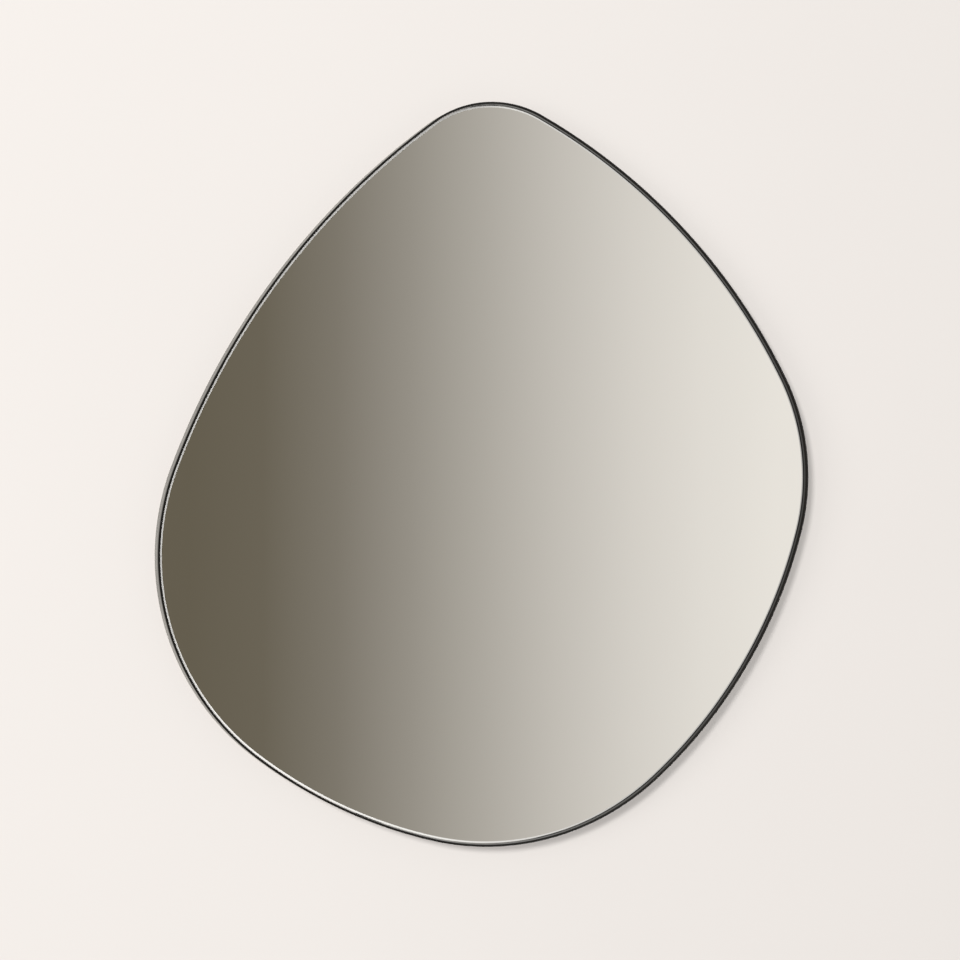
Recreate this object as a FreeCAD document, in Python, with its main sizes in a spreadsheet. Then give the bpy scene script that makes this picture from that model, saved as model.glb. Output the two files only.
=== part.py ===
import FreeCAD, Part
import math
import os
import Sketcher

# An irregular, pebble-shaped wall mirror. A flat steel bar, bent into a ring and coated black,
# carries a mirror glass bonded to a backing board. The board is dropped in from the front onto
# lugs inside the ring and screwed on from behind. It hangs from two hinged D-rings.
#
# +Z is up, the mirror faces -Y, and the origin lies on the wall, behind the middle of the outline.
# Depths are distances from the wall, so a face at depth d lies at y = -d. All sizes are in mm.

Vector = FreeCAD.Vector

SIZES = (
    # The outline, over the outside of the rim: four corner arcs joined by four flatter flanks.
    ("overall_width", 630, "widest span of the rim"),
    ("overall_height", 700, "tallest span of the rim"),
    ("right_z", -2, "height of the right-hand corner arc's centre"),
    ("right_radius", 208, "right-hand corner arc"),
    ("crown_x", 3, "sideways place of the crown arc's centre"),
    ("crown_radius", 99, "crown arc"),
    ("left_z", -76, "height of the left-hand corner arc's centre"),
    ("left_radius", 235, "left-hand corner arc"),
    ("base_x", 2, "sideways place of the base arc's centre"),
    ("base_radius", 244, "base arc"),
    ("upper_right_turn", 34.8, "how far the flank from right-hand corner to crown bends, degrees"),
    ("upper_left_turn", 32.8, "the same for the flank from crown to left-hand corner"),
    ("lower_left_turn", 23.4, "the same for the flank from left-hand corner to base"),
    ("lower_right_turn", 34, "the same for the flank from base to right-hand corner"),
    # The stack, from the wall forwards.
    ("wall_gap", 2, "from the wall to the rim's rear edge"),
    ("rim_depth", 22, "width of the flat bar, from its front edge to its rear edge"),
    ("rim_wall", 2.2, "thickness of the flat bar with its coating"),
    ("rim_edge_break", 0.5, "bevel along the rim's two front edges"),
    ("glass_recess", 6.5, "from the rim's front edge back to the glass"),
    ("glass_thickness", 4, "mirror glass"),
    ("glass_clearance", 0.4, "from the rim's inner wall to the edge of the glass"),
    ("glass_arris", 1.8, "ground bevel round the front of the glass"),
    ("film_thickness", 0.2, "safety film on the back of the glass"),
    ("film_margin", 2, "from the edge of the glass to the edge of the film"),
    ("tape_thickness", 1, "double-sided mirror tape"),
    ("tape_width", 20, "one strip of tape"),
    ("tape_pitch", 105, "from one strip to the next"),
    ("tape_margin", 26, "from the rim's outside to the ends of the strips"),
    ("board_thickness", 5, "backing board"),
    ("board_clearance", 1, "from the rim's inner wall to the edge of the board"),
    # The lugs that the board is screwed to, each on one arc of the outline.
    ("lug_thickness", 2, "lug sheet"),
    ("lug_width", 26, "lug, along the rim"),
    ("lug_reach", 17, "lug, inwards from the rim's inner wall"),
    ("lug_corner", 4, "rounding of the lug's free corners"),
    ("lug_hole_inset", 9.5, "from the rim's inner wall to the screw hole"),
    ("right_lug_turn", 6, "direction of a corner's lug from the arc's centre, in degrees"),
    ("crown_lug_turn", 94, "the same"),
    ("left_lug_turn", 196, "the same"),
    ("base_lug_turn", 284, "the same"),
    ("upper_right_lug_turn", 0, "direction of a flank's lug, from the middle of the flank"),
    ("upper_left_lug_turn", 0, "the same"),
    ("lower_left_lug_turn", 4, "the same"),
    ("lower_right_lug_turn", 0, "the same"),
    # Screws: one head and shank for all, as long as what each clamps and its bite in the board.
    ("screw_diameter", 3, "core of the screws"),
    ("screw_hole", 3.6, "hole that a screw passes through"),
    ("screw_head", 6.8, "diameter of the head"),
    ("screw_head_height", 2.2, "height of the head"),
    ("screw_head_bevel", 1.2, "bevel that stands for the head's dome"),
    ("screw_bite", 4.2, "how far each screw goes into the board"),
    ("screw_fit", 0.1, "clearance all round a screw in its pilot hole"),
    # The two D-ring hangers.
    ("hanger_spacing", 220, "from one hanger to the other"),
    ("hanger_level", 0.27, "height of the hangers' hinge axis, as a share of the overall height"),
    ("wire_diameter", 3.2, "wire of the D-ring"),
    ("ring_width", 24, "D-ring, between the middles of its sides"),
    ("ring_reach", 20, "D-ring, hinge axis to the middle of its far side"),
    ("ring_corner", 4, "bend at each end of the ring's straight side"),
    ("strap_thickness", 1.2, "sheet of the hanger strap"),
    ("strap_width", 13, "hanger strap, sideways"),
    ("strap_tail", 8, "from the hinge axis to the end of the rolled-back sheet"),
    ("strap_end", 6, "from the lower screw to the end of the strap"),
    ("strap_corner", 5, "rounding of the strap's lower corners"),
    ("roll_bend", 2, "bend where the roll comes back to the strap"),
    ("hinge_clearance", 0.3, "between the ring's wire and what it turns in or rests on"),
    ("fold_gap", 1, "between a folded ring and the screw heads"),
    # The rubber bumpers that stand on the board and meet the wall.
    ("bumper_base", 17, "bumper's diameter on the board"),
    ("bumper_top", 15, "bumper's diameter at the wall"),
    ("bumper_bore", 8.4, "counterbore for the screw head"),
    ("bumper_floor", 3.4, "rubber under the screw head"),
    ("bumper_inset", 46, "from the rim's outside to the bumper's centre"),
    ("upper_right_bumper_turn", 7, "direction of a bumper, from the middle of its flank"),
    ("upper_left_bumper_turn", -10, "the same"),
    ("lower_left_bumper_turn", -4, "the same"),
    ("lower_right_bumper_turn", -15, "the same"),
)

# Depths of the faces, each worked out from the one behind or in front of it.
RIM_REAR = "sizes.wall_gap"
RIM_FRONT = f"({RIM_REAR} + sizes.rim_depth)"
GLASS_FRONT = f"({RIM_FRONT} - sizes.glass_recess)"
GLASS_REAR = f"({GLASS_FRONT} - sizes.glass_thickness)"
FILM_REAR = f"({GLASS_REAR} - sizes.film_thickness)"
BOARD_FRONT = f"({FILM_REAR} - sizes.tape_thickness)"
BOARD_REAR = f"({BOARD_FRONT} - sizes.board_thickness)"
LUG_REAR = f"({BOARD_REAR} - sizes.lug_thickness)"

# How far each outline lies inside the rim's outer wall.
GLASS_INSET = "(sizes.rim_wall + sizes.glass_clearance)"
FILM_INSET = f"({GLASS_INSET} + sizes.film_margin)"
BOARD_INSET = "(sizes.rim_wall + sizes.board_clearance)"

# The corner arcs, in order anticlockwise from the front: centre x, centre z and radius.
CORNERS = {
    "right": (
        "(sizes.overall_width / 2 - sizes.right_radius)",
        "sizes.right_z",
        "sizes.right_radius",
    ),
    "crown": (
        "sizes.crown_x",
        "(sizes.overall_height / 2 - sizes.crown_radius)",
        "sizes.crown_radius",
    ),
    "left": (
        "(sizes.left_radius - sizes.overall_width / 2)",
        "sizes.left_z",
        "sizes.left_radius",
    ),
    "base": (
        "sizes.base_x",
        "(sizes.base_radius - sizes.overall_height / 2)",
        "sizes.base_radius",
    ),
}
# Each flank follows the corner of the same place in the order above.
FLANKS = ("upper_right", "upper_left", "lower_left", "lower_right")
LUG_ARCS = ("right", "upper_right", "crown", "upper_left", "left", "lower_left", "base", "lower_right")
TAPE_STRIPS = 5
SIDES = {"left": -1, "right": 1}

# The hanger's own sizes, measured from its hinge axis.
WIRE_RADIUS = "(sizes.wire_diameter / 2)"
ROLL_INSIDE = f"({WIRE_RADIUS} + sizes.hinge_clearance)"
ROLL_OUTSIDE = f"({ROLL_INSIDE} + sizes.strap_thickness)"
HINGE_DEPTH = f"({BOARD_REAR} - {ROLL_OUTSIDE})"
HINGE_Z = "(sizes.overall_height * sizes.hanger_level)"
FOLD_ROOM = f"({WIRE_RADIUS} + sizes.screw_head / 2 + sizes.fold_gap)"
STRAP_HOLES = (f"(sizes.ring_reach - {FOLD_ROOM})", f"(sizes.ring_reach + {FOLD_ROOM})")
# At rest the ring leans on the board: the angle at which its far side is one clearance off it.
RING_LEAN = "asin(sizes.strap_thickness / sizes.ring_reach)"


def size_sheet(doc):
    """The driving dimensions, one to a row: what it is, then its value under its alias."""
    sheet = doc.addObject("Spreadsheet::Sheet", "sizes")
    for row, (alias, value, meaning) in enumerate(SIZES, start=1):
        sheet.set(f"A{row}", meaning)
        sheet.set(f"B{row}", str(value))
        sheet.setAlias(f"B{row}", alias)
    doc.recompute()
    return sheet


def value_of(doc, expression):
    """The number that an expression of sheet sizes comes to."""
    result = doc.getObject("sizes").evalExpression(expression)
    return float(getattr(result, "Value", result))


def new_body(doc, name):
    """An empty body whose label is the sub-part's name."""
    body = doc.addObject("PartDesign::Body", name)
    body.Label = name
    return body


def new_sketch(body, name, plane, offset="0"):
    """A sketch on one of the body's own planes, moved along the plane's normal by offset."""
    sketch = body.newObject("Sketcher::SketchObject", name)
    origin_plane = next(part for part in body.Origin.OriginFeatures if part.Role == plane)
    sketch.AttachmentSupport = [(origin_plane, "")]
    sketch.MapMode = "FlatFace"
    sketch.setExpression("AttachmentOffset.Base.z", offset)
    return sketch


def constrain(sketch, name, *definition, size=None):
    """A constraint; with a size, it is named and bound to that expression."""
    if size is None:
        return sketch.addConstraint(Sketcher.Constraint(*definition))
    start = value_of(sketch.Document, size)
    if definition[0] == "Angle":
        start = math.radians(start)
    number = sketch.addConstraint(Sketcher.Constraint(*definition, start))
    sketch.renameConstraint(number, name)
    sketch.setExpression(f"Constraints.{name}", size)
    return number


def closed_lines(sketch, points):
    """A closed run of straight lines through the points, each joined to the next."""
    first = sketch.GeometryCount
    for start, end in zip(points, points[1:] + points[:1]):
        sketch.addGeometry(Part.LineSegment(Vector(*start, 0), Vector(*end, 0)), False)
    for n in range(len(points)):
        following = (n + 1) % len(points)
        constrain(sketch, "", "Coincident", first + n, 2, first + following, 1)
    return first


def circle(sketch, name, x, z, radius):
    """A full circle whose centre and radius are expressions."""
    doc = sketch.Document
    centre = Vector(value_of(doc, x), value_of(doc, z), 0)
    shape = Part.Circle(centre, Vector(0, 0, 1), value_of(doc, radius))
    number = sketch.addGeometry(shape, False)
    constrain(sketch, f"{name}_x", "DistanceX", -1, 1, number, 3, size=x)
    constrain(sketch, f"{name}_z", "DistanceY", -1, 1, number, 3, size=z)
    constrain(sketch, f"{name}_radius", "Radius", number, size=radius)
    return number


def flank_arc(first, second, turn):
    """The arc that wraps two corner circles and bends by turn between them, as x, z, radius."""
    across = second[0] - first[0]
    up = second[1] - first[1]
    apart = math.hypot(across, up)
    unlike = second[2] - first[2]
    spread = math.sqrt(unlike**2 + 2 * (apart**2 - unlike**2) / (1 - math.cos(turn)))
    radius = (first[2] + second[2] + spread) / 2
    to_first = radius - first[2]
    to_second = radius - second[2]
    along = (to_first**2 - to_second**2 + apart**2) / (2 * apart)
    aside = math.sqrt(to_first**2 - along**2)
    x = first[0] + (across * along - up * aside) / apart
    z = first[1] + (up * along + across * aside) / apart
    return x, z, radius


def outline_arcs(doc, inset):
    """The outline's eight arcs as x, z, radius, moved inwards by inset: corner, flank, corner..."""
    corners = []
    for x, z, radius in CORNERS.values():
        corners.append((value_of(doc, x), value_of(doc, z), value_of(doc, f"{radius} - {inset}")))
    arcs = []
    for n, flank in enumerate(FLANKS):
        turn = math.radians(value_of(doc, f"sizes.{flank}_turn"))
        arcs.append(corners[n])
        arcs.append(flank_arc(corners[n], corners[(n + 1) % len(corners)], turn))
    return arcs


def draw_outline(sketch, inset):
    """The outline moved inwards by inset: the same arc centres, with every radius that much less."""
    arcs = outline_arcs(sketch.Document, inset)
    count = len(arcs)
    turns = []
    for n, (x, z, radius) in enumerate(arcs):
        next_x, next_z, next_radius = arcs[(n + 1) % count]
        towards = 1 if radius > next_radius else -1
        turns.append(math.atan2(towards * (next_z - z), towards * (next_x - x)))
    for n, (x, z, radius) in enumerate(arcs):
        whole = Part.Circle(Vector(x, z, 0), Vector(0, 0, 1), radius)
        sketch.addGeometry(Part.ArcOfCircle(whole, turns[n - 1], turns[n]), False)
    for n in range(count):
        constrain(sketch, "", "Tangent", n, 2, (n + 1) % count, 1)
    for n, (name, (x, z, radius)) in enumerate(CORNERS.items()):
        corner = 2 * n
        constrain(sketch, f"{name}_x", "DistanceX", -1, 1, corner, 3, size=x)
        constrain(sketch, f"{name}_z", "DistanceY", -1, 1, corner, 3, size=z)
        constrain(sketch, f"{name}_radius", "Radius", corner, size=f"{radius} - {inset}")
    for n, name in enumerate(FLANKS):
        flank = 2 * n + 1
        constrain(sketch, f"{name}_turn", "Angle", flank, size=f"sizes.{name}_turn * 1 deg")


def measure_flanks(sketch):
    """Names what the tangencies settle, each flank's centre and radius, for pieces to follow."""
    for n, name in enumerate(FLANKS):
        flank = 2 * n + 1
        arc = sketch.Geometry[flank]
        measures = {
            "centre_x": Sketcher.Constraint("DistanceX", -1, 1, flank, 3, arc.Center.x),
            "centre_z": Sketcher.Constraint("DistanceY", -1, 1, flank, 3, arc.Center.y),
            "radius": Sketcher.Constraint("Radius", flank, arc.Radius),
        }
        for what, measure in measures.items():
            number = sketch.addConstraint(measure)
            sketch.setDriving(number, False)
            sketch.renameConstraint(number, f"{name}_{what}")


def arc_of(name):
    """Centre x, centre z and radius of one arc of the rim's outside, as expressions."""
    if name in CORNERS:
        return CORNERS[name]
    flank = f"(rim_outside.Constraints.{name}_"
    return f"{flank}centre_x / 1 mm)", f"{flank}centre_z / 1 mm)", f"{flank}radius / 1 mm)"


def direction_on(name, turn):
    """A corner's turn as it is, and a flank's counted from the middle of the flank."""
    if name in CORNERS:
        return turn
    x, z, _ = arc_of(name)
    corners = list(CORNERS.values())
    first = FLANKS.index(name)
    ends = []
    for end_x, end_z, _ in (corners[first], corners[(first + 1) % len(corners)]):
        ends.append(f"atan2({end_z} - {z}; {end_x} - {x})")
    return f"(({ends[0]} + {ends[1]}) / 2 + {turn} * 1 deg)"


def place_on_arc(name, turn, inset):
    """The point inset inwards from the rim's outside, in that direction on the arc."""
    x, z, radius = arc_of(name)
    reach = f"({radius} - {inset})"
    towards = direction_on(name, turn)
    return f"({x} + {reach} * cos({towards}))", f"({z} + {reach} * sin({towards}))"


def set_place(thing, x, depth, z, turn="0", axis="0; 1; 0"):
    """Binds a piece's placement: its point, and its turn in degrees about an axis through it."""
    point = f"create(<<vector>>; {x}; -({depth}); {z})"
    rotation = f"create(<<rotation>>; create(<<vector>>; {axis}); {turn})"
    thing.setExpression("Placement", f"create(<<placement>>; {point}; {rotation})")


def pad(body, name, sketch, length, symmetric=False):
    """The sketch's profile made solid, forwards from its plane or evenly to both sides."""
    feature = body.newObject("PartDesign::Pad", name)
    feature.Profile = sketch
    feature.setExpression("Length", length)
    feature.Midplane = symmetric
    return feature


def pocket(body, name, sketch, depth=None, reversed_way=False, symmetric=False):
    """The sketch's profile cut away to a depth, or right through without one."""
    feature = body.newObject("PartDesign::Pocket", name)
    feature.Profile = sketch
    if depth is None:
        feature.Type = "ThroughAll"
    else:
        feature.setExpression("Length", depth)
    feature.Reversed = reversed_way
    feature.Midplane = symmetric
    return feature


def edges_where(feature, wanted):
    """Names of the feature's edges for which wanted(edge) is true."""
    edges = enumerate(feature.Shape.Edges, start=1)
    return [f"Edge{number}" for number, edge in edges if wanted(edge)]


def dress(body, kind, name, base, wanted, **sizes):
    """A fillet or chamfer on the edges of base for which wanted is true."""
    body.Document.recompute()
    feature = body.newObject(f"PartDesign::{kind}", name)
    feature.Base = (base, edges_where(base, wanted))
    for key, size in sizes.items():
        feature.setExpression(key, size)
    return feature


def lies_at_depth(depth):
    """True for an edge that lies flat in the plane at that depth."""

    def test(edge):
        box = edge.BoundBox
        return abs(box.YMin + depth) < 1e-4 and abs(box.YMax + depth) < 1e-4

    return test


def frame_rim(doc):
    """The flat bar bent round the outline, with both front edges bevelled."""
    body = new_body(doc, "frame_rim")
    outside = new_sketch(body, "rim_outside", "XZ_Plane", RIM_REAR)
    draw_outline(outside, "0")
    measure_flanks(outside)
    block = pad(body, "rim_block", outside, "sizes.rim_depth")
    inside = new_sketch(body, "rim_inside", "XZ_Plane", RIM_REAR)
    draw_outline(inside, "sizes.rim_wall")
    ring = pocket(body, "rim_opening", inside, reversed_way=True)
    front = lies_at_depth(value_of(doc, RIM_FRONT))
    dress(body, "Chamfer", "rim_edges", ring, front, Size="sizes.rim_edge_break")


def mirror_glass(doc):
    """The glass, with the ground bevel round its front that catches the light."""
    body = new_body(doc, "mirror_glass")
    sketch = new_sketch(body, "glass_outline", "XZ_Plane", GLASS_REAR)
    draw_outline(sketch, GLASS_INSET)
    sheet = pad(body, "glass_sheet", sketch, "sizes.glass_thickness")
    front = lies_at_depth(value_of(doc, GLASS_FRONT))
    dress(body, "Chamfer", "glass_bevel", sheet, front, Size="sizes.glass_arris")


def safety_film(doc):
    """The film over the glass's silvered back."""
    body = new_body(doc, "safety_film")
    sketch = new_sketch(body, "film_outline", "XZ_Plane", FILM_REAR)
    draw_outline(sketch, FILM_INSET)
    pad(body, "film_sheet", sketch, "sizes.film_thickness")


def tape_strips(doc):
    """Upright strips of tape between the film and the board, trimmed along the outline."""
    field = doc.addObject("Sketcher::SketchObject", "tape_field")
    field.Placement.Rotation = FreeCAD.Rotation(Vector(1, 0, 0), 90)
    draw_outline(field, "sizes.tape_margin")
    cutter = doc.addObject("Part::Extrusion", "tape_cutter")
    cutter.Base = field
    cutter.DirMode = "Custom"
    cutter.Dir = Vector(0, -1, 0)
    cutter.Solid = True
    cutter.setExpression("LengthFwd", RIM_FRONT)
    for n in range(TAPE_STRIPS):
        strip = doc.addObject("Part::Box", f"tape_blank_{n + 1}")
        strip.setExpression("Length", "sizes.tape_width")
        strip.setExpression("Width", "sizes.tape_thickness")
        strip.setExpression("Height", "sizes.overall_height")
        middle = f"{n - TAPE_STRIPS // 2} * sizes.tape_pitch"
        set_place(strip, f"{middle} - sizes.tape_width / 2", FILM_REAR, "-sizes.overall_height / 2")
        trimmed = doc.addObject("Part::Common", f"tape_strip_{n + 1}")
        trimmed.Label = f"tape_strip_{n + 1}"
        trimmed.Base = strip
        trimmed.Tool = cutter


def screw_places():
    """Every screw as name: x, z and the depth of the face that its head sits on."""
    places = {"lug_screws": [], "hanger_screws": [], "bumper_screws": []}
    for name in LUG_ARCS:
        inset = "(sizes.rim_wall + sizes.lug_hole_inset)"
        x, z = place_on_arc(name, f"sizes.{name}_lug_turn", inset)
        places["lug_screws"].append((x, z, LUG_REAR))
    for side in SIDES.values():
        for hole in STRAP_HOLES:
            x = f"({side} * sizes.hanger_spacing / 2)"
            seat = f"({BOARD_REAR} - sizes.strap_thickness)"
            places["hanger_screws"].append((x, f"({HINGE_Z} - {hole})", seat))
    for name in FLANKS:
        x, z = place_on_arc(name, f"sizes.{name}_bumper_turn", "sizes.bumper_inset")
        places["bumper_screws"].append((x, z, f"({BOARD_REAR} - sizes.bumper_floor)"))
    return places


def backing_board(doc):
    """The board behind the glass, with a blind pilot hole for every screw."""
    body = new_body(doc, "backing_board")
    sketch = new_sketch(body, "board_outline", "XZ_Plane", BOARD_REAR)
    draw_outline(sketch, BOARD_INSET)
    pad(body, "board_sheet", sketch, "sizes.board_thickness")
    holes = new_sketch(body, "board_pilots", "XZ_Plane", BOARD_REAR)
    radius = "(sizes.screw_diameter / 2 + sizes.screw_fit)"
    for name, places in screw_places().items():
        for n, (x, z, _) in enumerate(places):
            circle(holes, f"{name}_{n}", x, z, radius)
    pocket(body, "board_drilling", holes, "sizes.screw_bite + sizes.screw_fit", reversed_way=True)


def lug(doc, arc):
    """A tab welded inside the rim: its outer edge follows the wall, its inner corners are round."""
    body = new_body(doc, f"lug_{arc}")
    x, z, radius = arc_of(arc)
    wall = f"({radius} - sizes.rim_wall)"
    inner = f"({wall} - sizes.lug_reach)"
    sketch = new_sketch(body, f"lug_{arc}_outline", "XZ_Plane", LUG_REAR)
    reach = value_of(doc, wall)
    half = value_of(doc, "sizes.lug_width / 2")
    turn = math.asin(half / reach)
    low = value_of(doc, inner)
    tip = reach * math.cos(turn)
    whole = Part.Circle(Vector(0, 0, 0), Vector(0, 0, 1), reach)
    curve = sketch.addGeometry(Part.ArcOfCircle(whole, -turn, turn), False)
    corners = [Vector(tip, half, 0), Vector(low, half, 0), Vector(low, -half, 0), Vector(tip, -half, 0)]
    for start, end in zip(corners, corners[1:]):
        sketch.addGeometry(Part.LineSegment(start, end), False)
    top, side, bottom = curve + 1, curve + 2, curve + 3
    constrain(sketch, "", "Coincident", curve, 3, -1, 1)
    constrain(sketch, "", "Coincident", curve, 2, top, 1)
    constrain(sketch, "", "Coincident", top, 2, side, 1)
    constrain(sketch, "", "Coincident", side, 2, bottom, 1)
    constrain(sketch, "", "Coincident", bottom, 2, curve, 1)
    constrain(sketch, "", "Horizontal", top)
    constrain(sketch, "", "Horizontal", bottom)
    constrain(sketch, "", "Symmetric", side, 1, side, 2, -1)
    constrain(sketch, "wall", "Radius", curve, size=wall)
    constrain(sketch, "inner", "DistanceX", -1, 1, side, 1, size=inner)
    constrain(sketch, "width", "DistanceY", side, 2, side, 1, size="sizes.lug_width")
    circle(sketch, "hole", f"({wall} - sizes.lug_hole_inset)", "0", "(sizes.screw_hole / 2)")
    plate = pad(body, f"lug_{arc}_plate", sketch, "sizes.lug_thickness")

    def is_free_corner(edge):
        box = edge.BoundBox
        return box.YLength > 1 and box.XLength < 1e-6 and abs(box.XMin - low) < 1e-4

    dress(body, "Fillet", f"lug_{arc}_corners", plate, is_free_corner, Radius="sizes.lug_corner")
    set_place(body, x, "0", z, f"-{direction_on(arc, f'sizes.{arc}_lug_turn')}")


def screw(doc, name, length):
    """A bevel-headed screw along Y, its head's underside at the origin and its tip at -length."""
    body = new_body(doc, name)
    profile = new_sketch(body, f"{name}_profile", "XY_Plane")
    core = value_of(doc, "sizes.screw_diameter / 2")
    rim = value_of(doc, "sizes.screw_head / 2")
    rise = value_of(doc, "sizes.screw_head_height")
    bevel = value_of(doc, "sizes.screw_head_bevel")
    reach = value_of(doc, length)
    crest = (rim - bevel, rise)
    points = [(0, -reach), (core, -reach), (core, 0), (rim, 0), (rim, rise - bevel), crest, (0, rise)]
    tip, shank, seat, side, slope, top, axis = range(closed_lines(profile, points), len(points))
    for line in (shank, side, axis):
        constrain(profile, "", "Vertical", line)
    for line in (tip, seat, top):
        constrain(profile, "", "Horizontal", line)
    constrain(profile, "", "PointOnObject", tip, 1, -2)
    constrain(profile, "", "PointOnObject", seat, 1, -1)
    constrain(profile, "core", "DistanceX", -1, 1, shank, 1, size="sizes.screw_diameter / 2")
    constrain(profile, "head", "DistanceX", -1, 1, side, 1, size="sizes.screw_head / 2")
    constrain(profile, "bevel_x", "DistanceX", slope, 2, slope, 1, size="sizes.screw_head_bevel")
    constrain(profile, "bevel_y", "DistanceY", slope, 1, slope, 2, size="sizes.screw_head_bevel")
    constrain(profile, "rise", "DistanceY", -1, 1, top, 1, size="sizes.screw_head_height")
    constrain(profile, "reach", "DistanceY", tip, 1, -1, 1, size=length)
    turned = body.newObject("PartDesign::Revolution", f"{name}_turned")
    turned.Profile = profile
    turned.ReferenceAxis = (profile, ["V_Axis"])
    turned.Angle = 360
    return body


def screws(doc):
    """Each set of screws: one screw, and a copy of it at every place of its set."""
    clamped = {
        "lug_screws": "sizes.lug_thickness",
        "hanger_screws": "sizes.strap_thickness",
        "bumper_screws": "sizes.bumper_floor",
    }
    for name, places in screw_places().items():
        pattern = screw(doc, f"{name}_pattern", f"({clamped[name]} + sizes.screw_bite)")
        copies = []
        for n, (x, z, seat) in enumerate(places):
            copy = doc.addObject("App::Link", f"{name}_{n + 1}")
            copy.LinkedObject = pattern
            copy.LinkTransform = False
            set_place(copy, x, seat, z)
            copies.append(copy)
        group = doc.addObject("Part::Compound", name)
        group.Label = name
        group.Links = copies


def hanger_strap(doc, side):
    """A strap of sheet rolled round the ring's wire, with two screw holes below the roll."""
    name = f"hanger_strap_{side}"
    body = new_body(doc, name)
    # The profile lies in the YZ plane: the hinge axis at the origin, the board on the -Y side.
    profile = new_sketch(body, f"{name}_profile", "YZ_Plane")
    outside = value_of(doc, ROLL_OUTSIDE)
    sheet = value_of(doc, "sizes.strap_thickness")
    bend = value_of(doc, "sizes.roll_bend")
    tail = value_of(doc, "sizes.strap_tail")
    end = value_of(doc, f"{STRAP_HOLES[1]} + sizes.strap_end")
    back = -outside
    bend_y = back + 2 * sheet + bend
    bend_z = -math.sqrt((outside + bend) ** 2 - bend_y**2)
    leave = math.atan2(bend_z, bend_y)
    roll = Part.Circle(Vector(0, 0, 0), Vector(0, 0, 1), outside)
    curl = Part.Circle(Vector(bend_y, bend_z, 0), Vector(0, 0, 1), bend)
    profile.addGeometry(Part.ArcOfCircle(roll, leave, math.pi), False)
    profile.addGeometry(Part.ArcOfCircle(curl, leave + math.pi, math.pi), False)
    corners = [
        (back + 2 * sheet, bend_z),
        (back + 2 * sheet, -tail),
        (back + sheet, -tail),
        (back + sheet, -end),
        (back, -end),
        (back, 0),
    ]
    for start, finish in zip(corners, corners[1:]):
        profile.addGeometry(Part.LineSegment(Vector(*start, 0), Vector(*finish, 0)), False)
    rolled, curled, upper, step, face, foot, rear = range(7)
    constrain(profile, "", "Coincident", rolled, 3, -1, 1)
    constrain(profile, "", "Tangent", rolled, 1, curled, 1)
    constrain(profile, "", "Tangent", curled, 2, upper, 1)
    constrain(profile, "", "Coincident", upper, 2, step, 1)
    constrain(profile, "", "Coincident", step, 2, face, 1)
    constrain(profile, "", "Coincident", face, 2, foot, 1)
    constrain(profile, "", "Coincident", foot, 2, rear, 1)
    constrain(profile, "", "Tangent", rear, 2, rolled, 2)
    for line in (upper, face, rear):
        constrain(profile, "", "Vertical", line)
    for line in (step, foot):
        constrain(profile, "", "Horizontal", line)
    constrain(profile, "outside", "Radius", rolled, size=ROLL_OUTSIDE)
    constrain(profile, "bend", "Radius", curled, size="sizes.roll_bend")
    constrain(profile, "lap", "DistanceX", rear, 1, upper, 2, size="2 * sizes.strap_thickness")
    constrain(profile, "sheet", "DistanceX", foot, 2, foot, 1, size="sizes.strap_thickness")
    constrain(profile, "tail", "DistanceY", upper, 2, -1, 1, size="sizes.strap_tail")
    constrain(profile, "end", "DistanceY", foot, 1, -1, 1, size=f"{STRAP_HOLES[1]} + sizes.strap_end")
    circle(profile, "eye", "0", "0", ROLL_INSIDE)
    strip = pad(body, f"{name}_strip", profile, "sizes.strap_width", symmetric=True)

    def is_lower_corner(edge):
        box = edge.BoundBox
        return box.YLength > 0.5 and box.ZLength < 1e-6 and abs(box.ZMin + end) < 1e-4

    corner = "min(sizes.strap_corner; 0.45 * sizes.strap_width)"
    rounded = dress(body, "Fillet", f"{name}_corners", strip, is_lower_corner, Radius=corner)
    body.Tip = rounded
    drill = new_sketch(body, f"{name}_drill", "XZ_Plane")
    for n, hole in enumerate(STRAP_HOLES):
        circle(drill, f"hole_{n}", "0", f"(-{hole})", "(sizes.screw_hole / 2)")
    pocket(body, f"{name}_holes", drill, symmetric=True)
    set_place(body, f"{SIDES[side]} * sizes.hanger_spacing / 2", HINGE_DEPTH, HINGE_Z)


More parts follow.
